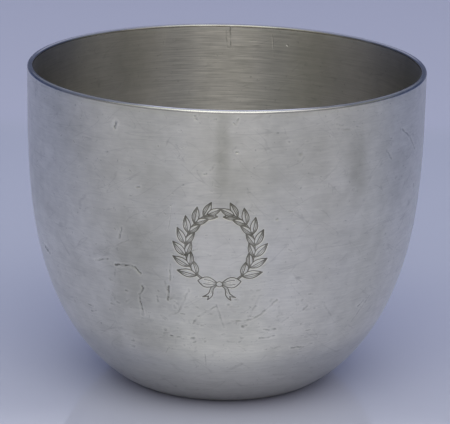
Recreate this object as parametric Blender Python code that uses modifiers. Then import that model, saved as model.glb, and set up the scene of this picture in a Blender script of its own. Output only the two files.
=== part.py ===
# A pewter drinking cup of the low, round-bottomed form with no handle and no foot.
# The wall, the rounded lip and the base are one piece of metal, drawn here as one turned solid.
# Units are metres, +Z is up, and the origin is the middle of the foot, on the table.

import math

import bpy

# Driving sizes
RIM_RADIUS = 0.0413  # outside of the cup at the lip, its widest place
HEIGHT = 0.0667  # from the table to the top of the lip
FOOT_RADIUS = 0.0200  # where the side has turned flat against the table
WALL = 0.0012  # thickness of the side, and of the round of the lip
BASE = 0.0015  # thickness of the floor
FOOT_RING = 0.0045  # width of the flat ring that it stands on
HOLLOW_DEPTH = 0.0008  # how far the underside is pushed up inside the ring, so the cup can't rock

# The side's curve, see bowl_outline
SIDE_POWER = 3.33  # higher keeps the upper side upright for longer
BELLY_POWER = 1.33  # higher makes the turn into the foot rounder

# How finely the curves are drawn
TURN_STEPS = 72
SIDE_POINTS = 18
LIP_POINTS = 6
FLOOR_POINTS = 5

PEWTER_COLOUR = (0.56, 0.56, 0.57, 1.0)
PEWTER_ROUGHNESS = 0.36


def clear_scene():
    for obj in list(bpy.data.objects):
        bpy.data.objects.remove(obj, do_unlink=True)


def make_collection(name):
    collection = bpy.data.collections.new(name)
    bpy.context.scene.collection.children.link(collection)
    return collection


def pewter_material():
    material = bpy.data.materials.new("pewter")
    material.use_nodes = True
    shader = material.node_tree.nodes["Principled BSDF"]
    shader.inputs["Base Color"].default_value = PEWTER_COLOUR
    shader.inputs["Metallic"].default_value = 1.0
    shader.inputs["Roughness"].default_value = PEWTER_ROUGHNESS
    return material


def bowl_outline(rim_radius, foot_radius, rim_height, foot_height):
    """Points (radius, height) down one side of the bowl, from the rim to where it lies flat.

    This is a quarter of a squared-off oval: it leaves the rim upright and reaches the foot level,
    whatever the sizes are. The two powers set how full it is.
    """
    points = []
    for i in range(SIDE_POINTS + 1):
        turn = math.pi / 2 * i / SIDE_POINTS
        drop = math.sin(turn) ** (2 / SIDE_POWER)
        spread = math.cos(turn) ** (2 / BELLY_POWER)
        radius = foot_radius + (rim_radius - foot_radius) * spread
        points.append((radius, rim_height - (rim_height - foot_height) * drop))
    return points


def lip_outline(wall_middle, lip_height, lip_radius):
    """Points of the half circle over the lip, from the inside to the outside, without its two ends."""
    points = []
    for i in range(1, LIP_POINTS):
        angle = math.pi * (1 - i / LIP_POINTS)
        radius = wall_middle + lip_radius * math.cos(angle)
        points.append((radius, lip_height + lip_radius * math.sin(angle)))
    return points


def floor_outline(height):
    """Points across the floor or the underside, from the axis out to the flat ring of the foot.

    One wave of a cosine lifts the middle and meets the ring with no edge.
    """
    hollow_radius = FOOT_RADIUS - FOOT_RING
    points = []
    for i in range(FLOOR_POINTS + 1):
        share = i / FLOOR_POINTS
        rise = HOLLOW_DEPTH * (1 + math.cos(math.pi * share)) / 2
        points.append((hollow_radius * share, height + rise))
    return points


def cup_profile():
    """The closed section at +X: out over the floor, up the inside, over the lip and down the outside."""
    lip_radius = WALL / 2
    lip_height = HEIGHT - lip_radius
    inner_side = bowl_outline(RIM_RADIUS - WALL, FOOT_RADIUS, lip_height, BASE)
    outer_side = bowl_outline(RIM_RADIUS, FOOT_RADIUS, lip_height, 0.0)
    return (
        floor_outline(BASE)
        + inner_side[::-1]
        + lip_outline(RIM_RADIUS - lip_radius, lip_height, lip_radius)
        + outer_side
        + floor_outline(0.0)[::-1]
    )


def turned_object(name, profile, material, collection):
    """One solid of revolution about Z, from a profile of (radius, height) points at +X."""
    mesh = bpy.data.meshes.new(name)
    vertices = [(radius, 0.0, height) for radius, height in profile]
    mesh.from_pydata(vertices, [(i, i + 1) for i in range(len(vertices) - 1)], [])
    mesh.materials.append(material)
    obj = bpy.data.objects.new(name, mesh)
    collection.objects.link(obj)
    screw = obj.modifiers.new("turned", "SCREW")
    screw.axis = "Z"
    screw.angle = 2 * math.pi
    screw.steps = TURN_STEPS
    screw.render_steps = TURN_STEPS
    screw.use_merge_vertices = True
    screw.merge_threshold = 0.00001
    screw.use_smooth_shade = True
    return obj


clear_scene()
cup = make_collection("jefferson_cup")
turned_object("cup_body", cup_profile(), pewter_material(), cup)
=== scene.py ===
import math

import bpy
import numpy as np
from mathutils import Euler, Matrix, Vector


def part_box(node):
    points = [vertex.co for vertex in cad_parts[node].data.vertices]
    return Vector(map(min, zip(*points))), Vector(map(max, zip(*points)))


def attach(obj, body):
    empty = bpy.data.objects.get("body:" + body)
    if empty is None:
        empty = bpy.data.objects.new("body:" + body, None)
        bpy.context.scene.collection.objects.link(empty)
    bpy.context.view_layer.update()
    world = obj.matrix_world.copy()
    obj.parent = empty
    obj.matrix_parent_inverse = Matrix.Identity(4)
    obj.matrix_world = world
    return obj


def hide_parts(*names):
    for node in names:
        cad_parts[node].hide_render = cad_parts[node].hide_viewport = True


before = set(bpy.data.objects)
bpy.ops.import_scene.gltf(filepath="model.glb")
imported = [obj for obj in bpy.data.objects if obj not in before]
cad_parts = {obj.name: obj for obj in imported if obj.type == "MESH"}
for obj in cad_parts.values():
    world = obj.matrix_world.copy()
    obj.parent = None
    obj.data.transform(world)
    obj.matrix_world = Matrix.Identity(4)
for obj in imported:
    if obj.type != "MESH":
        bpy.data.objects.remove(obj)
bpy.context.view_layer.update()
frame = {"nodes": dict(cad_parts)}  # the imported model, in metres, standing on z = 0 with its front towards -Y
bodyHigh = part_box("cup_body")[1]
rimRadius, cupHeight = bodyHigh.x, bodyHigh.z
mm = 0.001
print("frame loaded:", ", ".join(frame["nodes"]))


# Small helpers for nodes

def addNode(tree, kind, settings=None, values=None):
    # Makes one node. settings are its own properties, and values its inputs:
    # a number, a colour or another node's output.
    node = tree.nodes.new("ShaderNode" + kind)
    for key, value in (settings or {}).items():
        setattr(node, key, value)
    for key, value in (values or {}).items():
        if isinstance(value, bpy.types.NodeSocket):
            tree.links.new(value, node.inputs[key])
        else:
            node.inputs[key].default_value = value
    return node


def maths(tree, operation, a, b=0.0, c=0.0):
    return addNode(tree, "Math", {"operation": operation}, {0: a, 1: b, 2: c}).outputs[0]


def times(tree, a, b):
    return maths(tree, "MULTIPLY", a, b)


def timesPlus(tree, a, b, c):
    return maths(tree, "MULTIPLY_ADD", a, b, c)


def vectorMaths(tree, operation, a, b=(0.0, 0.0, 0.0), output=0):
    return addNode(tree, "VectorMath", {"operation": operation}, {0: a, 1: b}).outputs[output]


def axesOf(tree, vector):
    return addNode(tree, "SeparateXYZ", values={0: vector}).outputs


def vectorOf(tree, x, y, z):
    return addNode(tree, "CombineXYZ", values={0: x, 1: y, 2: z}).outputs[0]


def noise(tree, place, scale=1.0, detail=0.0, roughness=0.5, distortion=0.0):
    # Its outputs are a number and a colour.
    values = {"Vector": place, "Scale": scale, "Detail": detail, "Roughness": roughness,
              "Distortion": distortion}
    return addNode(tree, "TexNoise", values=values).outputs


def ramp(tree, value, fromMin, fromMax, toMin=0.0, toMax=1.0):
    # A smooth step from toMin to toMax while value goes from fromMin to fromMax.
    node = addNode(tree, "MapRange", {"interpolation_type": "SMOOTHSTEP"},
                   {0: value, 1: fromMin, 2: fromMax, 3: toMin, 4: toMax})
    return node.outputs[0]


def mix(tree, share, first, second):
    return addNode(tree, "Mix", {"data_type": "RGBA"}, {0: share, 6: first, 7: second}).outputs[2]


def attribute(tree, name, output):
    return addNode(tree, "Attribute", {"attribute_name": name}).outputs[output]


def objectPlace(tree):
    return addNode(tree, "TexCoord").outputs["Object"]


def newGroup(name, takes, gives):
    # A shader node group with named inputs (title: default) and outputs (titles of numbers).
    group = bpy.data.node_groups.new(name, "ShaderNodeTree")
    for title, default in takes.items():
        kind = "NodeSocketVector" if isinstance(default, tuple) else "NodeSocketFloat"
        group.interface.new_socket(title, in_out="INPUT", socket_type=kind).default_value = default
    for title in gives:
        group.interface.new_socket(title, in_out="OUTPUT", socket_type="NodeSocketFloat")
    return group, group.nodes.new("NodeGroupInput").outputs, group.nodes.new("NodeGroupOutput").inputs


def useGroup(tree, group, values):
    return addNode(tree, "Group", {"node_tree": group}, values).outputs


def newMaterial(name):
    material = bpy.data.materials.new(name)
    material.use_nodes = True
    return material, material.node_tree, material.node_tree.nodes["Principled BSDF"]


# The cup's form

cup = {  # metres. The rim's radius and the height come from the frame.
    "wall": 1.2 * mm,
    "base": 1.5 * mm,
    "footRadius": 20.0 * mm,
    "footRing": 4.5 * mm,  # width of the flat ring that it stands on
    "hollow": 0.8 * mm,  # rise of the floor's middle over that ring
    "sidePower": 3.33,
    "bellyPower": 1.33,
    "sidePoints": 3000,  # points of each curve, from which the rows are read
    "floorPoints": 200,
    "lipPoints": 400,
    "columns": 240,
    "rowStep": 1.05 * mm,
    "lipRows": 14,
    "unevenness": 0.035 * mm,  # how far hand finishing left the side out of true
    "evenAtFoot": 12.0 * mm,  # heights over which that fades out
    "evenAtLip": 6.0 * mm,
    "waves": [  # of the unevenness: times round, start, turn for each metre of height, and share
        (2, 0.6, 0.0, 1.0),
        (5, 1.9, 1 / (21.0 * mm), 0.7),
        (9, -0.8, -1 / (13.0 * mm), 0.6),
    ],
}
insidePart, lipPart, outsidePart, footPart = range(4)  # numbers of the parts and of their material slots
skinScale = 100.0  # millimetres of skin that make 1 of its UV map


def bowlLine(topRadius, topHeight, footHeight):
    # Radius and height down one side, a quarter of a squared-off oval: the height falls with sin to the power
    # 2 / sidePower, and the radius narrows to the foot's with cos to the power 2 / bellyPower.
    turn = np.linspace(0, math.pi / 2, cup["sidePoints"])
    radius = cup["footRadius"] + (topRadius - cup["footRadius"]) * np.cos(turn) ** (2 / cup["bellyPower"])
    height = topHeight - (topHeight - footHeight) * np.sin(turn) ** (2 / cup["sidePower"])
    return np.stack([radius, height], 1)


def floorLine(height):
    # From the axis out to the flat ring: one wave of a cosine lifts the middle.
    share = np.linspace(0, 1, cup["floorPoints"])
    rise = cup["hollow"] * (1 + np.cos(math.pi * share)) / 2
    return np.stack([(cup["footRadius"] - cup["footRing"]) * share, height + rise], 1)


def walked(line):
    # Distance along a line of points, from its first point.
    return np.r_[0, np.cumsum(np.hypot(*np.diff(line, axis=0).T))]


def pointsAt(line, distances):
    steps = walked(line)
    return np.stack([np.interp(distances, steps, line[:, 0]), np.interp(distances, steps, line[:, 1])], 1)


def evenDistances(line):
    length = walked(line)[-1]
    return np.linspace(0, length, round(length / cup["rowStep"]) + 1)


def profileRows():
    # The rows of the cup's grid, from the middle of its floor, over the lip, to the middle of the underside:
    # radius and height, distance down the wall from the top of the lip (negative on the inside), and the part
    # that the band below each row belongs to. The two middles are kept apart as the poles.
    lipRadius = cup["wall"] / 2
    lipHeight = cupHeight - lipRadius
    footEdge = np.array([[cup["footRadius"], 0.0]])
    inner = np.concatenate([floorLine(cup["base"]), footEdge + [0, cup["base"]],
                            bowlLine(rimRadius - cup["wall"], lipHeight, cup["base"])[-2::-1]])
    turn = np.linspace(math.pi, 0, cup["lipPoints"])
    lip = np.stack([rimRadius - lipRadius + lipRadius * np.cos(turn), lipHeight + lipRadius * np.sin(turn)], 1)
    outer = bowlLine(rimRadius, lipHeight, 0.0)
    foot = np.concatenate([footEdge, floorLine(0.0)[::-1]])
    lipHalf = walked(lip)[-1] / 2
    stretches = (
        (insidePart, inner, evenDistances(inner), -lipHalf - walked(inner)[-1]),
        (lipPart, lip, np.linspace(0, 2 * lipHalf, cup["lipRows"] + 1), -lipHalf),
        (outsidePart, outer, evenDistances(outer), lipHalf),
        (footPart, foot, evenDistances(foot), lipHalf + walked(outer)[-1]),
    )
    line = np.concatenate([pointsAt(line, distances)[:-1] for _, line, distances, _ in stretches])
    down = np.concatenate([(distances + offset)[:-1] for _, _, distances, offset in stretches])
    band = np.concatenate([np.full(len(distances) - 1, part) for part, _, distances, _ in stretches])
    lastDown = lipHalf + walked(outer)[-1] + walked(foot)[-1]
    return {"line": line[1:], "down": down[1:], "band": band[1:-1], "poleDown": [down[0], lastDown],
            "outer": outer, "lipHalf": lipHalf}


def unevenShift(angle, height):
    # How far the wall stands in from the true form: slow waves over the side, none at the lip and foot.
    waves = sum(share * np.cos(count * angle + start + height * slant)
                for count, start, slant, share in cup["waves"]) / sum(share for *_, share in cup["waves"])
    fade = np.clip(height / cup["evenAtFoot"], 0, 1) * np.clip((cupHeight - height) / cup["evenAtLip"], 0, 1)
    return cup["unevenness"] * (1 + waves) / 2 * fade * fade * (3 - 2 * fade)


def turned(angle, radius, height):
    # Points or directions turned about the axis, angle 0 at the front (-Y): x = r sin, y = -r cos.
    return np.stack([radius * np.sin(angle), -radius * np.cos(angle), height], -1)


def wallPoints(angle, line):
    # The profile turned about the axis, with the wall's unevenness.
    radius = line[..., 0] - unevenShift(angle, line[..., 1]) * (line[..., 0] > cup["footRadius"])
    return turned(angle, radius, line[..., 1])


# The engraving

wreath = {  # millimetres and degrees, of a laurel wreath tied with a bow and left bare in the middle
    "acrossAt": -0.7,
    "downAt": 28.2,  # along the wall, from the top of the lip to the wreath's middle
    "halfWidth": 6.9,
    "halfHeight": 7.6,
    "stemStart": -88.0,
    "stemGap": 0.28,  # between the two lines of a stem
    "leafPairs": 7,
    "leafLength": 4.1,
    "leafWidth": 1.6,
    "leafSpread": 31.0,
    "leafFullAt": 0.85,  # under 1 it is widest before its middle, over 1 past it
    "lowestLeaf": -50.0,
    "highestLeaf": 61.0,
    "tipLeaf": 67.0,  # the single leaf that ends a stem
    "leafTaper": 0.22,  # how much smaller that is than the lowest
    "innerLeaf": 0.86,  # size of an inner leaf against its outer one
    "leafLines": ((1, 0, 1, 1), (-1, 0, 1, 1), (0, 0, 0.94, 0.9)),  # edges and midrib, as cutBlade takes them
    "leafShading": (0.5, 0.14, 0.84, 0.75),
    "loopLean": 81.0,
    "loopLength": 4.3,
    "loopWidth": 2.3,
    "loopFullAt": 1.25,
    "loopLines": ((1, 0, 1, 1), (-1, 0, 1, 1), (0.42, 0.12, 0.72, 0.8), (-0.42, 0.12, 0.72, 0.8),
                  (0, 0.1, 0.55, 0.6)),
    "knot": (0.62, 0.55),  # half its width and height
    # how far aside a tail starts and then reaches, its wave and drop, half its width and how much that grows,
    # and the slant of its end in radians
    "tail": (0.3, 2.5, 0.35, 3.3, 0.16, 0.42, 0.6),
    "notchPoint": -5,  # of a tail's 24 points down its middle, counted back from its end
    "fold": (3, -8, 0.6),  # the same for the first and last of its fold line, and that line's strength
    "cutWidth": 0.33,
    "cutDepth": 0.08,
    "patchColumns": 20,  # cells of the cup's grid that are drawn finer to take the cuts
    "patchRows": 22,
    "finer": 9,
}


def cutLine(plate, points, strength=1.0):
    # Carves a line of points into the plate: a round-bottomed groove, 1 - (distance / half width) squared.
    half = wreath["cutWidth"] / 2
    across, up, depth = plate["across"], plate["up"], plate["depth"]
    for start, end in zip(points[:-1], points[1:]):
        low, high = np.minimum(start, end) - half, np.maximum(start, end) + half
        near = (across > low[0]) & (across < high[0]) & (up > low[1]) & (up < high[1])
        if near.any():
            gap = np.stack([across[near], up[near]], 1) - start
            run = end - start
            share = np.clip(gap @ run / max(run @ run, 1e-9), 0, 1)
            away = np.hypot(*(gap - share[:, None] * run).T) / half
            depth[near] = np.maximum(depth[near], strength * np.clip(1 - away ** 2, 0, 1))


def cutBlade(plate, root, heading, length, width, fullAt, lines):
    # A leaf or a loop of ribbon. Its edges swell as the sine of pi times (the way along) to the power fullAt.
    # lines are (offset, start, end, strength): offset 1 and -1 are the edges, 0 the midrib.
    # What lies under it is smoothed away first, but for the stub that joins it to its stem.
    along = np.array([math.cos(heading), math.sin(heading)])
    aside = np.array([-along[1], along[0]])
    gapX, gapY = plate["across"] - root[0], plate["up"] - root[1]
    gapAlong = (gapX * along[0] + gapY * along[1]) / length
    gapAside = gapX * aside[0] + gapY * aside[1]
    swell = np.sin(math.pi * np.clip(gapAlong, 0, 1) ** fullAt) * width / 2
    stub = 0.03
    plate["depth"][(gapAlong > stub) & (gapAlong < 1) & (np.abs(gapAside) < swell)] = 0
    for offset, start, end, strength in lines:
        at = np.linspace(start, end, 16)
        bow = offset * np.sin(math.pi * at ** fullAt) * width / 2
        cutLine(plate, root + np.outer(at * length, along) + np.outer(bow, aside), strength)


def cutTail(plate, root, side):
    # One end of the ribbon: two edges that part from the knot on a slow wave, with a notch and a fold line.
    start, reach, wave, drop, half, growth, slant = wreath["tail"]
    share = np.linspace(0, 1, 24)
    outward = side * (start + reach * share + wave * np.sin(2 * math.pi * share))
    middle = np.stack([outward, -drop * share], 1) + root
    half = half + growth * share
    aside = np.array([math.cos(slant), side * math.sin(slant)])
    for edge in (-1, 1):
        cutLine(plate, middle + edge * half[:, None] * aside)
        cutLine(plate, np.stack([middle[-1] + edge * half[-1] * aside, middle[wreath["notchPoint"]]]))
    foldStart, foldEnd, strength = wreath["fold"]
    cutLine(plate, middle[foldStart:foldEnd], strength)


def cutBranch(plate, side):
    # Half of the wreath, on side 1 or -1: the stem's two lines, then leaves that get smaller to the tip.
    wide, high, pairs = wreath["halfWidth"], wreath["halfHeight"], wreath["leafPairs"]
    stem = np.radians(np.linspace(wreath["stemStart"], wreath["tipLeaf"], 60))
    for inset in (0.0, wreath["stemGap"]):
        cutLine(plate, np.stack([side * (wide - inset) * np.cos(stem), (high - inset) * np.sin(stem)], 1))
    leavesAt = [*np.linspace(wreath["lowestLeaf"], wreath["highestLeaf"], pairs), wreath["tipLeaf"]]
    for k, angle in enumerate(np.radians(leavesAt)):
        root = np.array([side * wide * math.cos(angle), high * math.sin(angle)])
        heading = math.atan2(high * math.cos(angle), -side * wide * math.sin(angle))
        for turn in ((side, -side) if k < pairs else (0,)):
            size = (1 - wreath["leafTaper"] * k / pairs) * (wreath["innerLeaf"] if turn == side else 1.0)
            offset, *reach = wreath["leafShading"]
            cutBlade(plate, root, heading + turn * math.radians(wreath["leafSpread"]),
                     wreath["leafLength"] * size, wreath["leafWidth"] * size, wreath["leafFullAt"],
                     (*wreath["leafLines"], (offset * (turn or side), *reach)))


def wreathDepth(across, up):
    # Depth of the engraving, 0 to 1, at every point of the patch: the two branches, and then the bow.
    plate = {"across": across, "up": up, "depth": np.zeros_like(across)}
    for side in (-1, 1):
        cutBranch(plate, side)
    knotAt = np.array([0.0, -wreath["halfHeight"]])
    for side in (-1, 1):
        cutTail(plate, knotAt, side)
        heading = math.pi / 2 - side * math.radians(wreath["loopLean"])
        cutBlade(plate, knotAt, heading, wreath["loopLength"], wreath["loopWidth"], wreath["loopFullAt"],
                 wreath["loopLines"])
    knotWide, knotHigh = wreath["knot"]
    plate["depth"][(across / knotWide) ** 2 + ((up - knotAt[1]) / knotHigh) ** 2 < 1] = 0
    turn = np.linspace(0, 2 * math.pi, 30)
    cutLine(plate, knotAt + np.stack([knotWide * np.cos(turn), knotHigh * np.sin(turn)], 1))
    return plate["depth"]


# The wear marks that the real cup carries, each as width and strength, then points in millimetres:
# how far round from the front (inside: from the back), and how far down the wall from the top of the lip.
outsideMarks = [
    (0.49, 1.0, (-22.3, 4.4), (-22.6, 5.5)),
    (0.6, 1.0, (-47.2, 36.5), (-44.6, 37.0)),
    (0.31, 0.55, (1.4, 2.8), (1.8, 3.0), (2.4, 1.9)),
    (0.36, 0.5, (2.2, 8.5), (2.4, 8.5)),
    (0.55, 0.35, (14.7, 9.1), (15.0, 9.1)),
    (0.34, 0.6, (-4.0, 13.0), (-3.6, 12.9)),
    (0.31, 0.3, (-2.9, 12.1), (-2.1, 11.2)),
    (0.34, 0.61, (-17.6, 16.9), (-17.0, 16.7)),
    (0.31, 0.54, (-27.4, 34.1), (-26.4, 33.6), (-24.3, 33.1)),
    (0.34, 1.0, (-22.4, 34.0), (-19.4, 33.5), (-18.0, 33.7), (-17.3, 34.5), (-16.7, 34.9)),
    (0.36, 0.68, (-20.9, 25.8), (-21.1, 26.6), (-21.6, 27.9)),
    (0.36, 0.88, (-16.3, 37.6), (-16.1, 38.2), (-16.9, 39.7), (-16.8, 41.3), (-16.4, 43.0), (-16.3, 44.6)),
    (0.31, 0.54, (-10.5, 32.2), (-10.5, 35.6)),
    (0.34, 0.81, (-10.7, 37.0), (-10.8, 37.9), (-10.8, 40.1), (-10.3, 40.4), (-9.6, 40.3)),
    (0.4, 0.81, (-9.5, 41.5), (-9.4, 41.7)),
    (0.31, 0.41, (-13.1, 39.5), (-13.0, 40.8)),
    (0.31, 0.47, (-30.5, 45.3), (-28.9, 45.4)),
    (0.31, 0.47, (-29.5, 46.8), (-28.0, 46.5)),
    (0.34, 0.35, (-6.6, 37.2), (-7.4, 39.5), (-8.7, 42.7), (-10.7, 43.8)),
    (0.31, 0.4, (-1.3, 40.8), (-4.7, 43.4), (-5.8, 45.2)),
    (0.4, 0.6, (-4.1, 45.6), (-3.8, 45.6)),
    (0.31, 0.35, (-1.2, 40.5), (-0.1, 44.2), (0.5, 45.8)),
    (0.31, 0.45, (1.8, 44.2), (4.1, 44.3), (5.8, 43.9), (7.4, 43.0), (9.1, 41.4), (10.9, 39.5)),
    (0.43, 0.7, (4.1, 45.7), (4.8, 45.4)),
    (0.49, 0.61, (-11.4, 47.2), (-11.3, 47.6)),
    (0.4, 0.81, (-10.3, 48.8), (-9.9, 48.9)),
    (0.31, 0.47, (-9.2, 49.0), (-8.2, 48.9)),
    (0.46, 0.5, (-6.0, 49.0), (-5.5, 48.9)),
    (0.31, 0.3, (-4.5, 49.0), (-3.7, 49.0)),
    (0.49, 0.68, (-18.9, 53.6), (-18.6, 53.6)),
    (0.36, 0.54, (-20.0, 39.4), (-19.7, 39.4)),
    (0.31, 0.3, (-22.6, 34.9), (-22.7, 36.7)),
    (0.31, 0.27, (-22.8, 41.0), (-22.9, 42.2)),
    (0.34, 0.6, (8.5, 46.6), (9.5, 47.0), (10.8, 46.5)),
    (0.31, 0.45, (7.6, 48.8), (9.6, 48.7), (10.6, 48.3)),
    (0.34, 0.6, (14.3, 52.1), (15.7, 52.2), (17.2, 52.5)),
    (0.34, 0.5, (16.5, 42.5), (17.4, 41.6)),
    (0.31, 0.25, (16.6, 49.2), (18.7, 49.2), (22.8, 50.2)),
    (0.31, 0.35, (29.3, 48.4), (32.2, 45.1), (34.3, 42.9)),
    (0.34, 0.55, (30.9, 44.7), (32.5, 43.5)),
    (0.31, 0.2, (21.3, 42.1), (23.3, 45.2)),
    (0.31, 0.2, (12.1, 45.1), (15.1, 42.6)),
    (0.36, 0.3, (7.3, 58.2), (7.5, 58.3)),
    (0.34, 0.5, (42.2, 8.1), (46.0, 10.6), (49.2, 13.7)),
    (0.31, 0.3, (36.4, 11.3), (38.5, 13.5)),
    (0.43, 0.5, (10.3, 22.1), (10.5, 22.1)),
    (0.31, 0.5, (12.3, 6.6), (12.5, 6.6)),
    (0.31, 0.4, (16.0, 6.8), (16.3, 6.8)),
    (0.34, 0.4, (27.0, 17.8), (27.3, 17.9)),
    (0.6, 0.35, (40.2, 17.6), (40.6, 17.8)),
    (0.55, 0.4, (49.8, 21.8), (50.1, 22.2)),
    (0.31, 0.35, (22.6, 4.0), (24.1, 4.3)),
    (0.31, 0.25, (23.0, 5.0), (25.9, 5.4)),
    (0.36, 0.45, (-5.9, 1.7), (-5.7, 2.2)),
    (0.31, 0.3, (-2.8, 2.4), (-1.9, 2.0)),
]
insideMarks = [
    (0.23, 0.7, (-0.5, -1.0), (-0.6, -3.3), (-0.7, -5.6)),
    (0.29, 0.6, (-0.1, -5.5), (-1.0, -5.7)),
    (0.21, 0.35, (0.4, -1.8), (0.1, -5.4)),
    (0.21, 0.35, (-10.1, -2.2), (-10.6, -7.2)),
    (0.31, 0.5, (-13.5, -4.2), (-13.8, -4.3)),
    (0.25, 0.5, (2.4, -7.4), (2.2, -7.5)),
    (0.21, 0.3, (14.4, -1.7), (14.4, -4.6)),
    (0.21, 0.25, (-5.1, -3.9), (-7.8, -3.3)),
]
randomWear = {  # millimetres, counted as the marks are
    "outside": {"seed": 5, "ticks": 560, "scratches": 60, "round": (-125, 125), "reach": (2.0, 62.0),
                "width": (0.13, 0.24), "strength": 0.42},
    "lowFront": {"seed": 21, "ticks": 150, "scratches": 22, "round": (-24, 20), "reach": (37.0, 53.0),
                 "width": (0.18, 0.42), "strength": 0.42},
    "inside": {"seed": 8, "ticks": 320, "scratches": 30, "round": (-125, 125), "reach": (-68.0, -1.5),
               "width": (0.13, 0.24), "strength": 0.34},
}
strokes = {  # of that wear, in millimetres and radians
    "scratchLength": (3.0, 1.1),  # shape and scale of a gamma distribution
    "tickLength": (2.0, 0.22),
    "shortestTick": 0.08,
    "scratchSlope": 1.5,  # at most, either way
    "tickSlope": 0.45,  # the spread of a normal distribution
    "weakest": 0.25,  # share of the full strength
    "scratchStrength": 0.7,  # against a tick's
}
markReach = 1.6  # millimetres from a mark within which a face takes it
farAside = 99.0  # mark widths, for a face that takes none
markLayers = ("markA", "markB")  # a face's nearest and second nearest mark


def segmentsOf(marks):
    # One row for each straight stretch: x0, y0, x1, y1, width, strength.
    return np.array([(*a, *b, width, strength) for width, strength, *points in marks
                     for a, b in zip(points[:-1], points[1:])])


def randomSegments(wear):
    # Short ticks that mostly follow the polishing, and longer and fainter scratches at any slope,
    # over the part of the skin that the values give.
    dice = np.random.default_rng(wear["seed"])
    count = wear["ticks"] + wear["scratches"]
    long = np.arange(count) >= wear["ticks"]
    middle = np.stack([dice.uniform(*wear["round"], count), dice.uniform(*wear["reach"], count)], 1)
    scratches, ticks = (dice.gamma(*strokes[key], count) for key in ("scratchLength", "tickLength"))
    length = np.where(long, scratches, ticks + strokes["shortestTick"])
    slopes = dice.uniform(-strokes["scratchSlope"], strokes["scratchSlope"], count)
    slope = np.where(long, slopes, dice.normal(0, strokes["tickSlope"], count))
    half = np.stack([np.cos(slope), np.sin(slope)], 1) * length[:, None] / 2
    width = dice.uniform(*wear["width"], count)
    strength = wear["strength"] * dice.uniform(strokes["weakest"], 1.0, count) ** 1.5
    strength = strength * np.where(long, strokes["scratchStrength"], 1.0)
    return np.concatenate([middle - half, middle + half, width[:, None], strength[:, None]], 1)


def nearestSegments(centres, segments):
    # Each face centre's nearest and second nearest stretch of a mark: their numbers, or -1 past markReach.
    found = np.full((2, len(centres)), -1)
    best = np.full((2, len(centres)), markReach)
    for number, (x0, y0, x1, y1, _, _) in enumerate(segments):
        start, run = np.array([x0, y0]), np.array([x1 - x0, y1 - y0])
        near = np.flatnonzero((np.abs(centres[:, 0] - (x0 + x1) / 2) < abs(run[0]) / 2 + markReach)
                              & (np.abs(centres[:, 1] - (y0 + y1) / 2) < abs(run[1]) / 2 + markReach))
        gap = centres[near] - start
        share = np.clip(gap @ run / max(run @ run, 1e-9), 0, 1)
        away = np.hypot(*(gap - share[:, None] * run).T)
        first = away < best[0, near]
        second = ~first & (away < best[1, near])
        moved = near[first]
        best[1, moved], found[1, moved] = best[0, moved], found[0, moved]
        best[0, moved], found[0, moved] = away[first], number
        best[1, near[second]], found[1, near[second]] = away[second], number
    return found


def addAttribute(mesh, name, kind, domain, values):
    key = "vector" if kind == "FLOAT_VECTOR" else "value"
    mesh.attributes.new(name, kind, domain).data.foreach_set(key, values.astype(np.float32).ravel())


def addMarks(mesh, skin, starts, faceOf, parts):
    # Writes the marks on the mesh in two layers. A face has a mark's strength, and its corners their places
    # beside the mark: how far along from its middle, how far aside, and half its length, in mark widths.
    centres = np.add.reduceat(skin, starts) / np.bincount(faceOf)[:, None]
    segments = {
        outsidePart: np.concatenate([segmentsOf(outsideMarks), randomSegments(randomWear["outside"]),
                                     randomSegments(randomWear["lowFront"])]),
        insidePart: np.concatenate([segmentsOf(insideMarks), randomSegments(randomWear["inside"])]),
    }
    found = {part: nearestSegments(centres[parts == part], rows) for part, rows in segments.items()}
    for layer, name in enumerate(markLayers):
        spot = np.tile([0.0, farAside, 0.0], (len(faceOf), 1))
        strength = np.zeros(len(parts))
        for part, rows in segments.items():
            chosen = np.full(len(parts), -1)
            chosen[parts == part] = found[part][layer]
            strength[chosen >= 0] = rows[chosen[chosen >= 0], 5]
            picked = np.flatnonzero(chosen[faceOf] >= 0)
            x0, y0, x1, y1, width, _ = rows[chosen[faceOf[picked]]].T
            length = np.maximum(np.hypot(x1 - x0, y1 - y0), 0.01)
            east, north = (x1 - x0) / length, (y1 - y0) / length
            gapX, gapY = skin[picked, 0] - (x0 + x1) / 2, skin[picked, 1] - (y0 + y1) / 2
            beside = np.stack([gapX * east + gapY * north, gapY * east - gapX * north, length / 2], 1)
            spot[picked] = beside / width[:, None]
        addAttribute(mesh, name, "FLOAT_VECTOR", "CORNER", spot)
        addAttribute(mesh, name + "Strength", "FLOAT", "FACE", strength)


# The cup's mesh

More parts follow.
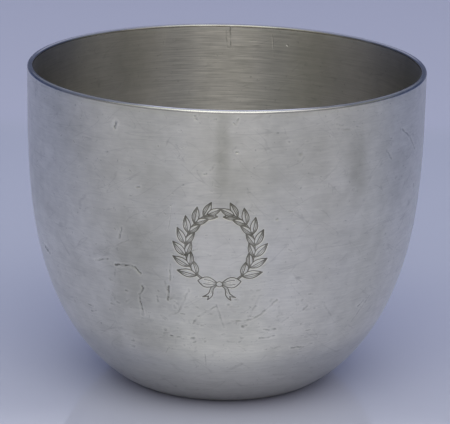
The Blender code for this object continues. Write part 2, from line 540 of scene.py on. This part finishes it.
def finePatch(profile, angles, window):
    # The patch that takes the engraving: the grid's cells divided both ways, with their points on the side's
    # true curve, and the grooves sunk along the wall's normal.
    firstRow, lastRow, firstColumn, _ = window
    finer = wreath["finer"]
    rowNumbers = np.arange(wreath["patchRows"] * finer + 1) / finer
    down = np.interp(rowNumbers, np.arange(wreath["patchRows"] + 1), profile["down"][firstRow:lastRow + 1])
    line = pointsAt(profile["outer"], down - profile["lipHalf"])
    step = 2 * math.pi / cup["columns"] / finer
    angle = angles[firstColumn] + step * np.arange(wreath["patchColumns"] * finer + 1)
    slope = np.gradient(line, axis=0)
    outward = np.stack([-slope[:, 1], slope[:, 0]], 1) / np.hypot(*slope.T)[:, None]

    shape = (len(down), len(angle))
    angle, down = np.broadcast_to(angle, shape), np.broadcast_to(down[:, None], shape)
    line, outward = (np.broadcast_to(values[:, None], (*shape, 2)) for values in (line, outward))
    across = (angle - wreath["acrossAt"] * mm / rimRadius) * line[..., 0] / mm
    depth = wreathDepth(across, wreath["downAt"] - down / mm)
    sunk = wreath["cutDepth"] * mm * depth[..., None]
    points = wallPoints(angle, line) - sunk * turned(angle, outward[..., 0], outward[..., 1])
    return {"angle": angle, "radius": line[..., 0], "down": down, "points": points, "depth": depth}


def gridFaces(grid, fine, poles, band, window):
    # The faces, and the part that each belongs to: plain cells, the patch's cells, the many-sided cells
    # round the patch and the fans at the poles. grid and fine hold the points' numbers.
    firstRow, lastRow, firstColumn, lastColumn = window
    right = np.roll(grid, -1, axis=1)
    cells = np.stack([grid[:-1], grid[1:], right[1:], right[:-1]], -1)
    plain = np.ones(cells.shape[:2], bool)
    plain[firstRow:lastRow, firstColumn:lastColumn] = False
    between = np.arange(1, wreath["finer"])
    along = np.arange(wreath["patchColumns"])[:, None] * wreath["finer"] + between
    downward = np.arange(wreath["patchRows"])[:, None] * wreath["finer"] + between
    wide, tall = slice(firstColumn, lastColumn), slice(firstRow, lastRow)
    borders = (  # cells above, below, left and right of the patch, and their corners and edge points in turn
        ((firstRow - 1, wide), (0, 1, fine[0][along], 2, 3)),
        ((lastRow, wide), (0, 1, 2, 3, fine[-1][along[:, ::-1]])),
        ((tall, firstColumn - 1), (0, 1, 2, fine[:, 0][downward[:, ::-1]], 3)),
        ((tall, lastColumn), (0, fine[:, -1][downward], 1, 2, 3)),
    )
    bordered = []
    for where, order in borders:
        plain[where] = False
        bordered.append(np.hstack([cells[where][:, [k]] if isinstance(k, int) else k for k in order]))
    bordered = np.concatenate(bordered)
    engraved = np.stack([fine[:-1, :-1], fine[1:, :-1], fine[1:, 1:], fine[:-1, 1:]], -1).reshape(-1, 4)
    columns = grid.shape[1]
    fans = np.concatenate([np.stack([np.full(columns, poles[0]), grid[0], right[0]], 1),
                           np.stack([grid[-1], np.full(columns, poles[1]), right[-1]], 1)])
    parts = np.concatenate([np.repeat(band[:, None], columns, 1)[plain],
                            np.full(len(engraved) + len(bordered), outsidePart),
                            np.repeat([insidePart, footPart], columns)])
    return [cells[plain], engraved, bordered, fans], parts


def skinPlaces(corner, starts, faceOf, parts, poles, angle, radius, down):
    # Each corner's place on the skin in millimetres: its angle from the front (inside: from the back) times
    # its radius, and its distance down from the lip. A face that crosses the seam keeps its corners together.
    cornerAngle = angle[corner]
    faceAngle = np.maximum.reduceat(np.where(np.isin(corner, poles), -np.inf, cornerAngle), starts)
    cornerAngle = np.where(faceAngle[faceOf] - cornerAngle > math.pi, cornerAngle + 2 * math.pi, cornerAngle)
    fromBack = (faceAngle + 2 * math.pi) % (2 * math.pi) - math.pi
    shift = np.where(parts == insidePart, fromBack - faceAngle, 0.0)
    return np.stack([(cornerAngle + shift[faceOf]) * radius[corner], down[corner]], 1) / mm


def buildCup():
    profile = profileRows()
    line, down, band = profile["line"], profile["down"], profile["band"]
    rows, columns, finer = len(line), cup["columns"], wreath["finer"]
    angles = wreath["acrossAt"] * mm / rimRadius + 2 * math.pi / columns * (np.arange(columns) - columns // 2)
    firstRow = int(np.argmin(np.abs(down / mm - wreath["downAt"]))) - wreath["patchRows"] // 2
    firstColumn = (columns - wreath["patchColumns"]) // 2
    lastRow, lastColumn = firstRow + wreath["patchRows"], firstColumn + wreath["patchColumns"]
    window = (firstRow, lastRow, firstColumn, lastColumn)
    patch = finePatch(profile, angles, window)

    # points: the coarse grid with a hole for the patch, then the patch, then the two poles
    rowOf, columnOf = np.meshgrid(np.arange(rows), np.arange(columns), indexing="ij")
    coarse = (rowOf < firstRow) | (rowOf > lastRow) | (columnOf < firstColumn) | (columnOf > lastColumn)
    coarseLine, coarseAngle = line[rowOf[coarse]], angles[columnOf[coarse]]
    grid = np.zeros((rows, columns), int)
    grid[coarse] = np.arange(len(coarseLine))
    fine = len(coarseLine) + np.arange(patch["depth"].size).reshape(patch["depth"].shape)
    grid[firstRow:lastRow + 1, firstColumn:lastColumn + 1] = fine[::finer, ::finer]
    poles = fine[-1, -1] + np.array([1, 2])
    polePoints = [[0, 0, floorLine(height)[0, 1]] for height in (cup["base"], 0.0)]
    points = np.concatenate([wallPoints(coarseAngle, coarseLine), patch["points"].reshape(-1, 3), polePoints])

    faces, parts = gridFaces(grid, fine, poles, band, window)
    corner = np.concatenate([group.ravel() for group in faces])
    sides = np.concatenate([np.full(len(group), group.shape[1]) for group in faces])
    starts = np.r_[0, np.cumsum(sides)[:-1]]
    faceOf = np.repeat(np.arange(len(sides)), sides)
    skin = skinPlaces(corner, starts, faceOf, parts, poles,
                      angle=np.concatenate([coarseAngle, patch["angle"].ravel(), [0, 0]]),
                      radius=np.concatenate([coarseLine[:, 0], patch["radius"].ravel(), [0, 0]]),
                      down=np.concatenate([down[rowOf[coarse]], patch["down"].ravel(), profile["poleDown"]]))

    mesh = bpy.data.meshes.new("pewterCup")
    mesh.from_pydata(points.tolist(), [], [face for group in faces for face in group.tolist()])
    mesh.polygons.foreach_set("material_index", parts.astype(np.int32))
    mesh.polygons.foreach_set("use_smooth", np.ones(len(parts), bool))
    mesh.uv_layers.new(name="skin").data.foreach_set("uv", (skin / skinScale).astype(np.float32).ravel())
    carved = np.zeros(len(points))
    carved[fine] = patch["depth"]
    addAttribute(mesh, "carved", "FLOAT", "POINT", carved)
    addMarks(mesh, skin, starts, faceOf, parts)
    mesh.validate()
    mesh.update()
    piece = bpy.data.objects.new("pewterCup", mesh)
    bpy.context.scene.collection.objects.link(piece)
    print("cup:", len(points), "points,", int((sides - 2).sum()), "triangles")
    return piece


# Node groups that the materials share

def makeRingsGroup():
    # Fine rings left by the lathe and the polishing: noise drawn out round the cup, close-set down the wall.
    takes = {"Place": (0.0, 0.0, 0.0), "Down": 0.0, "Length": 8.0, "Spacing": 0.5}
    tree, takes, gives = newGroup("turningRings", takes, ("Fine", "Broad"))
    place = axesOf(tree, takes["Place"])
    sideways = [maths(tree, "DIVIDE", times(tree, place[k], 1 / mm), takes["Length"]) for k in (0, 1)]
    downward = maths(tree, "DIVIDE", takes["Down"], takes["Spacing"])
    for title, share, detail in (("Fine", 1.0, 3.0), ("Broad", 0.16, 2.0)):
        at = vectorOf(tree, *(times(tree, way, share) for way in (*sideways, downward)))
        tree.links.new(noise(tree, at, detail=detail, roughness=0.62)[0], gives[title])
    return tree


def makeCloudGroup():
    # Slow cloudy change over the metal, for tarnish and handling: noise with its contrast raised.
    takes = {"Place": (0.0, 0.0, 0.0), "Scale": 60.0, "From": 0.42, "To": 0.68}
    tree, takes, gives = newGroup("cloudyTarnish", takes, ("Mask",))
    clouds = noise(tree, takes["Place"], takes["Scale"], detail=3.0, roughness=0.55, distortion=0.4)[0]
    tree.links.new(ramp(tree, clouds, takes["From"], takes["To"]), gives["Mask"])
    return tree


def makeMarkGroup():
    # One stretch of a wear mark. Mark is the place beside it, as addMarks gives it, and Bend is added.
    # The mask falls smoothly with the distance from the stretch, and the rim round it is a painted highlight.
    takes = {"Mark": (0.0, farAside, 0.0), "Bend": (0.0, 0.0, 0.0), "Strength": 0.0}
    tree, takes, gives = newGroup("wearMark", takes, ("Mask", "RimHighlight"))
    place = axesOf(tree, vectorMaths(tree, "ADD", takes["Mark"], takes["Bend"]))
    past = maths(tree, "MAXIMUM", maths(tree, "SUBTRACT", maths(tree, "ABSOLUTE", place[0]), place[2]), 0.0)
    squares = [times(tree, gap, gap) for gap in (past, place[1])]
    away = maths(tree, "SQRT", maths(tree, "ADD", *squares))
    mask = ramp(tree, away, 0.0, 0.95, 1.0, 0.0)
    # painted highlight on the rim round the mark
    rim = times(tree, ramp(tree, away, 0.5, 1.2), ramp(tree, away, 1.2, 2.2, 1.0, 0.0))
    tree.links.new(times(tree, mask, takes["Strength"]), gives["Mask"])
    tree.links.new(times(tree, rim, takes["Strength"]), gives["RimHighlight"])
    return tree


def makeHairlineGroup():
    # Fine scratches: thin lines where noise, drawn out along one slope, passes through its middle value,
    # kept only in some places by a second noise.
    takes = {"Skin": (0.0, 0.0, 0.0), "Slope": 0.0, "Length": 14.0, "Spacing": 1.6}
    tree, takes, gives = newGroup("hairlines", takes, ("Mask",))
    values = {"Vector": takes["Skin"], "Angle": takes["Slope"]}
    sloped = addNode(tree, "VectorRotate", {"rotation_type": "Z_AXIS"}, values).outputs[0]
    sloped = axesOf(tree, sloped)
    at = vectorOf(tree, maths(tree, "DIVIDE", sloped[0], takes["Length"]),
                  maths(tree, "DIVIDE", sloped[1], takes["Spacing"]), takes["Slope"])
    away = maths(tree, "ABSOLUTE", maths(tree, "SUBTRACT", noise(tree, at)[0], 0.5))
    kept = ramp(tree, axesOf(tree, noise(tree, at, 0.9)[1])[1], 0.5, 0.66)
    tree.links.new(times(tree, ramp(tree, away, 0.0, 0.024, 1.0, 0.0), kept), gives["Mask"])
    return tree


def makePatchGroup():
    # An oval patch at a place on the skin, in millimetres, for stains and for painted light and shade.
    # The third number of Size is the softness: the share of the oval over which its edge fades.
    takes = {"Skin": (0.0, 0.0, 0.0), "Middle": (0.0, 0.0, 0.0), "Size": (5.0, 5.0, 0.9)}
    tree, takes, gives = newGroup("softPatch", takes, ("Mask",))
    away = vectorMaths(tree, "SUBTRACT", takes["Skin"], takes["Middle"])
    away = vectorMaths(tree, "DIVIDE", away, takes["Size"])
    away = vectorMaths(tree, "LENGTH", vectorMaths(tree, "MULTIPLY", away, (1.0, 1.0, 0.0)), output=1)
    fadeFrom = maths(tree, "SUBTRACT", 1.0, axesOf(tree, takes["Size"])[2])
    tree.links.new(ramp(tree, away, fadeFrom, 1.0, 1.0, 0.0), gives["Mask"])
    return tree


ringsGroup = makeRingsGroup()
cloudGroup = makeCloudGroup()
markGroup = makeMarkGroup()
patchGroup = makePatchGroup()
hairlineGroup = makeHairlineGroup()
print("node groups made")


# Pewter

everyLook = {  # the same on every side
    "mottle": (330.0, 0.28, 0.72),  # scale, and the noise at which it begins and is full
    "specks": (1500.0, 0.66, 0.74),
    "bendScale": 1100.0,
    "markBend": 2.2,  # how far noise bends a mark, in mark widths
    "broken": (0.38, 0.6, 0.15, 1.0),  # noise over which a mark goes from faint to full, and those amounts
    "markShare": 0.7,  # how far a mark takes its own colour
    "cutEdgeHighlight": ((0.02, 0.15), (0.22, 0.48)),  # shares of a cut's depth over which the painted highlight on its edge comes and goes
    "cut": (0.3, 0.85),  # and over which its dark inside comes
    "mottledCut": 0.78,  # least share of that, where it's mottled
    "stainRoughness": 0.1,  # added by stains and painted shade, marks and cuts
    "markRoughness": 0.25,
    "cutRoughness": 0.2,
}
outsideLook = {
    "cleanAndLit": (0.81, 0.787, 0.708, 1.0),
    "tarnishedAndShaded": (0.465, 0.455, 0.395, 1.0),
    "inMarks": (0.1, 0.097, 0.082, 1.0),
    "inCuts": (0.15, 0.142, 0.115, 1.0),
    "cutEdgeHighlightTone": 0.3,  # painted highlight: how much lighter the edges of the cuts are
    "roughness": 0.285,
    "brushing": 0.8,  # how much the reflections are drawn out down the wall
    "ringLength": 3.2,
    "ringSpacing": 0.4,
    "ringTone": 0.21,
    "ringHeight": 0.0035 * mm,
    "broadRings": 0.35,
    "markHeight": 0.15 * mm,
    # painted highlight on the rims round the marks
    "rimHighlightTone": 0.13,
    "hairlines": [(0.05, 16.0), (0.62, 9.0), (-0.75, 8.0)],  # slope in radians and length in millimetres
    "hairTone": -0.11,
    "hairHeight": 0.004 * mm,
    "specks": 0.3,
    "lowShade": (51.0, 57.8, 0.0, 0.62),  # painted shade, darker towards the foot: millimetres down where it begins and is full, and its two amounts
    "lowShadeColour": (0.51, 0.51, 0.495, 1.0),
    "paintedLowReflection": (1.4, 46.3, 13.0, 8.0, -0.26),  # a painted reflection, a crescent of lighter metal: the lower part of a patch
    "reflectionSoftness": 0.12,
    "reflectionFrom": (49.0, 53.5),
    "tarnish": 0.3,  # share of tarnish where there is no stain and no patch of painted light and shade
    "cloud": 0.16,
    "mottle": 0.09,
    "stainsAndPaintedLight": [  # partly real tarnish, partly painted light and shade, the narrow dark streak near the middle being a painted reflection: middle on the skin and size in millimetres, and how much more or less tarnish and painted shade
        (-0.6, 8.0, 2.2, 14.0, 0.36),
        (0.5, 13.0, 9.0, 15.0, 0.27),
        (-10.0, 6.0, 7.0, 8.0, -0.18),
        (-23.0, 7.0, 10.0, 9.0, -0.12),
        (9.5, 12.0, 6.5, 13.0, 0.2),
        (18.0, 9.5, 6.0, 8.0, 0.26),
        (27.0, 7.0, 6.0, 9.0, 0.2),
        (-14.0, 15.5, 6.0, 8.0, 0.2),
        (-17.0, 31.5, 10.0, 14.0, 0.45),
        (-11.5, 41.0, 6.5, 6.0, 0.2),
        (-19.0, 42.0, 7.0, 10.0, 0.28),
        (-14.5, 50.0, 8.0, 7.0, 0.34),
        (4.0, 58.0, 17.0, 8.0, -0.34),
        (28.0, 14.5, 4.0, 10.0, 0.34),
        (12.0, 30.0, 9.0, 16.0, -0.22),
        (6.0, 47.0, 13.0, 6.0, -0.06),
        (9.5, 42.0, 8.0, 10.0, -0.22),
        (1.4, 43.0, 15.0, 9.0, 0.07),
        (-22.5, 54.0, 3.0, 5.0, 0.2),
    ],
}
footLook = {**outsideLook, "roughness": 0.36, "cloud": 0.5, "ringTone": 0.24, "stainsAndPaintedLight": []}
insideLook = {
    "cleanAndLit": (0.655, 0.628, 0.580, 1.0),
    "tarnishedAndShaded": (0.39, 0.373, 0.327, 1.0),
    "inMarks": (0.12, 0.105, 0.085, 1.0),
    "roughness": 0.33,
    "brushing": 0.85,
    "ringLength": 8.0,
    "ringSpacing": 0.3,
    "ringTone": 0.245,
    "ringHeight": 0.0115 * mm,
    "broadRings": 0.18,
    "ringSheenPatch": (0.0, -10.0, 22.0, 60.0, 0.52),  # painted sheen: where the rings show more, in the middle of the inside where the reflections fall, and by how much
    "markHeight": 0.1 * mm,
    # painted highlight on the rims round the marks
    "rimHighlightTone": 0.07,
    "hairlines": [(0.03, 16.0), (0.4, 9.0)],
    "hairTone": -0.12,
    "hairHeight": 0.005 * mm,
    "specks": 0.3,
    # painted shade, darker deep inside towards the floor
    "lowShade": (-40.0, -60.0, 0.0, 0.15),
    "lowShadeColour": (0.4, 0.385, 0.335, 1.0),
    "tarnish": 0.32,
    "cloud": 0.14,
    "mottle": 0.07,
    # painted light and shade: lighter near the middle, where the reflections fall, darker towards the sides
    "stainsAndPaintedLight": [
        (0.0, -2.0, 6.0, 7.0, -0.26),
        (0.0, -9.5, 6.0, 7.0, 0.14),
        (10.0, -7.0, 7.0, 16.0, -0.42),
        (-10.0, -6.0, 7.0, 16.0, -0.5),
        (22.0, -7.0, 9.0, 22.0, 0.56),
        (-21.0, -9.0, 9.0, 22.0, 0.38),
        (57.0, -5.0, 22.0, 22.0, 0.68),
        (-57.0, -5.0, 22.0, 22.0, 0.75),
    ],
}


def skinPlace(tree):
    # Millimetres round the cup and down the wall.
    skin = addNode(tree, "UVMap", {"uv_map": "skin"}).outputs[0]
    return vectorMaths(tree, "MULTIPLY", skin, (skinScale, skinScale, 0.0))


def softPatch(tree, skin, oval, softness=0.9):
    x, y, wide, high = oval
    return useGroup(tree, patchGroup, {"Skin": skin, "Middle": (x, y, 0.0), "Size": (wide, high, softness)})[0]


def tarnishAndPaintedLightShare(tree, look, skin, down, cloud, mottle):
    # How tarnished the metal is, with its painted light and shade: the look's own share, with clouds, mottling,
    # stains, patches of painted light and shade, and a painted reflection low down.
    tarnishAndPaintedLight = timesPlus(tree, cloud, look["cloud"], look["tarnish"] - look["cloud"] * 0.4)
    tarnishAndPaintedLight = maths(tree, "SUBTRACT", tarnishAndPaintedLight, look["mottle"])
    tarnishAndPaintedLight = timesPlus(tree, mottle, look["mottle"] * 2, tarnishAndPaintedLight)
    for *oval, strength in look["stainsAndPaintedLight"]:
        tarnishAndPaintedLight = timesPlus(tree, softPatch(tree, skin, oval), strength, tarnishAndPaintedLight)
    # painted reflection: a lighter crescent low on the outside
    if "paintedLowReflection" in look:
        *oval, strength = look["paintedLowReflection"]
        paintedReflection = softPatch(tree, skin, oval, look["reflectionSoftness"])
        paintedReflection = times(tree, paintedReflection, ramp(tree, down, *look["reflectionFrom"]))
        tarnishAndPaintedLight = timesPlus(tree, paintedReflection, strength, tarnishAndPaintedLight)
    return maths(tree, "MAXIMUM", tarnishAndPaintedLight, 0.0)


def wearMarks(tree, here):
    # Masks of the marks, which noise bends and breaks up along their length, and of the painted highlights on
    # their rims.
    bends = noise(tree, here, everyLook["bendScale"], detail=2.0)
    bend = vectorMaths(tree, "SUBTRACT", bends[1], (0.5, 0.5, 0.5))
    bend = vectorMaths(tree, "MULTIPLY", bend, (everyLook["markBend"], everyLook["markBend"], 0.0))
    marks, rimHighlights = 0.0, 0.0
    for layer in markLayers:
        values = {"Mark": attribute(tree, layer, "Vector"), "Bend": bend,
                  "Strength": attribute(tree, layer + "Strength", "Fac")}
        mark = useGroup(tree, markGroup, values)
        marks = maths(tree, "MAXIMUM", mark["Mask"], marks)
        rimHighlights = maths(tree, "MAXIMUM", mark["RimHighlight"], rimHighlights)
    return times(tree, marks, ramp(tree, bends[0], *everyLook["broken"])), rimHighlights


def brushedPewter(name, look):
    # Turned pewter: rings, clouds of tarnish, stains with painted light and shade, wear marks and, with
    # engraving, dark cuts, both with painted highlights at their edges.
    material, tree, shader = newMaterial(name)
    here, skin = objectPlace(tree), skinPlace(tree)
    down = axesOf(tree, skin)[1]
    rings = useGroup(tree, ringsGroup, {"Place": here, "Down": down, "Length": look["ringLength"],
                                        "Spacing": look["ringSpacing"]})
    cloud = useGroup(tree, cloudGroup, {"Place": here})[0]
    mottle, specks = (
        useGroup(tree, cloudGroup, {"Place": here, "Scale": scale, "From": start, "To": full})[0]
        for scale, start, full in (everyLook["mottle"], everyLook["specks"]))
    hairs = 0.0
    for slope, length in look["hairlines"]:
        hair = useGroup(tree, hairlineGroup, {"Skin": skin, "Slope": slope, "Length": length})[0]
        hairs = maths(tree, "ADD", hair, hairs)
    marks, rimHighlights = wearMarks(tree, here)
    tarnishAndPaintedLight = tarnishAndPaintedLightShare(tree, look, skin, down, cloud, mottle)
    carved = attribute(tree, "carved", "Fac") if "inCuts" in look else 0.0

    # tone: what the rings, hairlines and the painted highlights on the marks' rims and the cuts' edges multiply
    # the metal's colour by
    ringTone = look["ringTone"]
    # painted sheen: the rings show more where the reflections fall
    if "ringSheenPatch" in look:
        *oval, more = look["ringSheenPatch"]
        ringTone = timesPlus(tree, softPatch(tree, skin, oval), more, ringTone)
    tone = maths(tree, "ADD", times(tree, rings["Fine"], 1 - look["broadRings"]),
                 times(tree, rings["Broad"], look["broadRings"]))
    tone = timesPlus(tree, timesPlus(tree, tone, 2.0, -1.0), ringTone, 1.0)
    tone = timesPlus(tree, hairs, look["hairTone"], tone)
    tone = timesPlus(tree, rimHighlights, look["rimHighlightTone"], tone)
    if "inCuts" in look:
        # painted highlight along the edges of the cuts
        comes, goes = everyLook["cutEdgeHighlight"]
        cutEdgeHighlight = times(tree, ramp(tree, carved, *comes), ramp(tree, carved, *goes, 1.0, 0.0))
        tone = timesPlus(tree, cutEdgeHighlight, look["cutEdgeHighlightTone"], tone)

    # tarnish mixed with painted light and shade
    colour = mix(tree, maths(tree, "MINIMUM", tarnishAndPaintedLight, 1.0), look["cleanAndLit"], look["tarnishedAndShaded"])
    # painted shade, darker towards the bottom
    colour = mix(tree, ramp(tree, down, *look["lowShade"]), colour, look["lowShadeColour"])
    colour = addNode(tree, "VectorMath", {"operation": "SCALE"}, {0: colour, "Scale": tone}).outputs[0]
    colour = mix(tree, times(tree, specks, look["specks"]), colour, look["inMarks"])
    colour = mix(tree, times(tree, marks, everyLook["markShare"]), colour, look["inMarks"])
    if "inCuts" in look:
        mottled = ramp(tree, mottle, 0.0, 1.0, everyLook["mottledCut"], 1.0)
        cutShare = times(tree, ramp(tree, carved, *everyLook["cut"]), mottled)
        colour = mix(tree, cutShare, colour, look["inCuts"])
    tree.links.new(colour, shader.inputs["Base Color"])

    roughness = timesPlus(tree, tarnishAndPaintedLight, everyLook["stainRoughness"], look["roughness"])
    roughness = timesPlus(tree, marks, everyLook["markRoughness"], roughness)
    roughness = timesPlus(tree, carved, everyLook["cutRoughness"], roughness)
    tree.links.new(roughness, shader.inputs["Roughness"])

    height = times(tree, rings["Fine"], look["ringHeight"])
    height = timesPlus(tree, marks, -look["markHeight"], height)
    height = timesPlus(tree, hairs, -look["hairHeight"], height)
    bump = addNode(tree, "Bump", values={"Strength": 1.0, "Distance": 1.0, "Height": height})
    tree.links.new(bump.outputs[0], shader.inputs["Normal"])

    shader.inputs["Metallic"].default_value = 1.0
    shader.inputs["Anisotropic"].default_value = look["brushing"]
    shader.inputs["Anisotropic Rotation"].default_value = 0.25
    tangent = addNode(tree, "Tangent", {"direction_type": "UV_MAP", "uv_map": "skin"})
    tree.links.new(tangent.outputs[0], shader.inputs["Tangent"])
    return material


lipLook = {
    # painted shade towards the inside
    "inner": (0.22, 0.205, 0.17, 1.0),
    "crest": (0.19, 0.18, 0.16, 1.0),  # at the front, away from its middle, beyond the painted highlight
    # the crest at the back, a dimmer painted highlight
    "backHighlightCrest": (0.42, 0.41, 0.42, 1.0),
    # painted highlight on the crest, in the middle of the front
    "highlightCrest": (1.0, 0.98, 0.97, 1.0),
    "outer": (0.35, 0.34, 0.315, 1.0),  # away from the middle, beyond the painted highlight
    # painted highlight on the outer half, in its middle
    "highlightOuter": (0.485, 0.47, 0.45, 1.0),
    "edge": (0.52, 0.52, 0.51, 1.0),
    "crestFrom": (-0.64, -0.44),  # millimetres over the lip where each band passes into the next
    "outerFrom": (0.14, 0.34),
    "edgeFrom": (0.72, 0.88),
    "highlightSpan": (12.5 * mm, 19.0 * mm),  # how far to the left and right the painted highlight reaches
    "back": (-5.0 * mm, 12.0 * mm),  # from the front to the back, where the crest takes its colour there
    "roughness": 0.2,
    "cloudScale": 220.0,
    "cloudShare": 0.2,
    "cloudRoughness": 0.06,
}


def lipPewter():
    # The lip: painted shade towards the inside, a crest with a painted highlight in the middle of the front and
    # a dimmer one along the back, and a darker outer half with a painted highlight in its middle.
    material, tree, shader = newMaterial("paintedHighlightLip")
    here = objectPlace(tree)
    place = axesOf(tree, here)
    down = axesOf(tree, skinPlace(tree))[1]
    cloud = useGroup(tree, cloudGroup, {"Place": here, "Scale": lipLook["cloudScale"]})[0]
    # painted highlight in the middle of the front and back, with a dimmer crest at the back
    beyondHighlight = ramp(tree, maths(tree, "ABSOLUTE", place[0]), *lipLook["highlightSpan"])
    crest = mix(tree, beyondHighlight, lipLook["highlightCrest"], lipLook["crest"])
    crest = mix(tree, ramp(tree, place[1], *lipLook["back"]), crest, lipLook["backHighlightCrest"])
    outer = mix(tree, beyondHighlight, lipLook["highlightOuter"], lipLook["outer"])
    colour = lipLook["inner"]
    for key, band in (("crestFrom", crest), ("outerFrom", outer), ("edgeFrom", lipLook["edge"])):
        colour = mix(tree, ramp(tree, down, *lipLook[key]), colour, band)
    colour = mix(tree, times(tree, cloud, lipLook["cloudShare"]), colour, lipLook["edge"])
    roughness = timesPlus(tree, cloud, lipLook["cloudRoughness"], lipLook["roughness"])
    tree.links.new(colour, shader.inputs["Base Color"])
    tree.links.new(roughness, shader.inputs["Roughness"])
    shader.inputs["Metallic"].default_value = 1.0
    return material


cupPiece = buildCup()
for material in (brushedPewter("turnedPewterInside", insideLook), lipPewter(),
                 brushedPewter("brushedPewterOutside", outsideLook), brushedPewter("footPewter", footLook)):
    cupPiece.data.materials.append(material)
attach(cupPiece, "root")
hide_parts("cup_body")
print("cup's materials made")


# Stage

stage = {
    "floorColour": (0.550, 0.553, 0.662, 1.0),
    "backdropColour": (0.550, 0.550, 0.685, 1.0),
    "backdropFrom": (0.205, 0.222),  # metres behind the cup's middle where the floor passes into the backdrop
    "floorRoughness": 0.05,
    "floorIor": 1.7,
    "floorSize": 3.0,
    "before": (0.38, 0.37, 0.33, 1.0),  # the studio's own soft glow: low in front, low behind and overhead
    "behind": (0.06, 0.09, 0.21, 1.0),
    "overhead": (0.33, 0.38, 0.57, 1.0),
    "behindFrom": (-0.5, 0.5),  # parts of the view's direction to the back and upwards
    "overheadFrom": (0.05, 0.8),
    "lampsAimAt": (0.0, 0.0, 0.04),
}
lamps = {  # azimuth and elevation in degrees (0 is the front), distance, width and height in metres, radiance
    "keySoftbox": (0, 48, 1.8, 1.5, 1.1, (1.37, 1.36, 1.13)),
    "topSoftbox": (0, 90, 1.8, 1.6, 1.6, (0.27, 0.25, 0.2)),
    "frontTopSoftbox": (0, 70, 1.8, 0.9, 0.9, (0.96, 0.95, 0.86)),
    "highLeftSoftbox": (-40, 65, 1.8, 0.9, 0.9, (0.56, 0.63, 0.4)),
    "highRightSoftbox": (40, 65, 1.8, 0.9, 0.9, (0.63, 0.7, 0.52)),
    "leftSoftbox": (-55, 45, 1.8, 1.1, 1.1, (0.57, 0.55, 0.37)),
    "rightSoftbox": (55, 45, 1.8, 1.1, 1.1, (0.81, 0.76, 0.67)),
    "lowSoftbox": (0, 18, 1.9, 1.4, 0.6, (0.42, 0.39, 0.42)),
    "farRightSoftbox": (100, 30, 1.9, 0.9, 1.0, (0.15, 0.15, 0.05)),
    "backSoftbox": (180, 42.6, 1.8, 1.6, 1.48, (0.33, 0.33, 0.34)),
    "behindSoftbox": (180, 6, 1.9, 2.4, 0.36, (0.1, 0.09, 0.07)),
}


def buildFloor():
    size = stage["floorSize"]
    mesh = bpy.data.meshes.new("paleFloor")
    corners = [(-size, -size, 0), (size, -size, 0), (size, size, 0), (-size, size, 0)]
    mesh.from_pydata(corners, [], [(0, 1, 2, 3)])
    floor = bpy.data.objects.new("paleFloor", mesh)
    bpy.context.scene.collection.objects.link(floor)
    material, tree, shader = newMaterial("paleSheet")
    back = axesOf(tree, objectPlace(tree))[1]
    share = ramp(tree, back, *stage["backdropFrom"])
    colour = mix(tree, share, stage["floorColour"], stage["backdropColour"])
    tree.links.new(colour, shader.inputs["Base Color"])
    shader.inputs["Roughness"].default_value = stage["floorRoughness"]
    shader.inputs["IOR"].default_value = stage["floorIor"]
    mesh.materials.append(material)


def buildWorld():
    # A soft glow that changes slowly with the direction, from the front to the back and upwards.
    world = bpy.data.worlds.new("studio")
    bpy.context.scene.world = world
    world.use_nodes = True
    tree = world.node_tree
    way = axesOf(tree, addNode(tree, "TexCoord").outputs["Generated"])
    colour = mix(tree, ramp(tree, way[1], *stage["behindFrom"]), stage["before"], stage["behind"])
    colour = mix(tree, ramp(tree, way[2], *stage["overheadFrom"]), colour, stage["overhead"])
    tree.links.new(colour, tree.nodes["Background"].inputs["Color"])


def addLamp(name, azimuth, elevation, distance, width, height, radiance):
    # A soft box that faces the cup. An area lamp of energy pi times its area has a radiance of 1.
    turn, rise = math.radians(azimuth), math.radians(elevation)
    towards = Vector((math.sin(turn) * math.cos(rise), -math.cos(turn) * math.cos(rise), math.sin(rise)))
    light = bpy.data.lights.new(name, "AREA")
    light.shape = "RECTANGLE"
    light.size, light.size_y = width, height
    light.energy = math.pi * width * height * max(radiance)
    light.color = [share / max(radiance) for share in radiance]
    lamp = bpy.data.objects.new(name, light)
    bpy.context.scene.collection.objects.link(lamp)
    lamp.location = Vector(stage["lampsAimAt"]) + towards * distance
    lamp.rotation_mode = "QUATERNION"
    lamp.rotation_quaternion = towards.to_track_quat("Z", "Y")


buildFloor()
buildWorld()
for name, values in lamps.items():
    addLamp(name, *values)
print("stage and lamps made")


# Camera

view = {
    "location": (0.0, -0.4878, 0.1757),
    "pitchDown": 16.12,
    "yaw": -0.02,
    "roll": 1.15,
    "lens": 192.7,  # in millimetres, as the sensor's width is
    "sensor": 36.0,
    "clip": (0.05, 20.0),
}
camera = bpy.data.objects.new("camera", bpy.data.cameras.new("camera"))
bpy.context.scene.collection.objects.link(camera)
camera.data.lens, camera.data.sensor_width = view["lens"], view["sensor"]
camera.data.clip_start, camera.data.clip_end = view["clip"]
aim = Euler((math.radians(90 - view["pitchDown"]), 0.0, math.radians(view["yaw"]))).to_matrix().to_4x4()
roll = Matrix.Rotation(math.radians(view["roll"]), 4, "Z")
camera.matrix_world = Matrix.Translation(view["location"]) @ aim @ roll
bpy.context.scene.camera = camera
bpy.context.scene.view_settings.view_transform = "Standard"
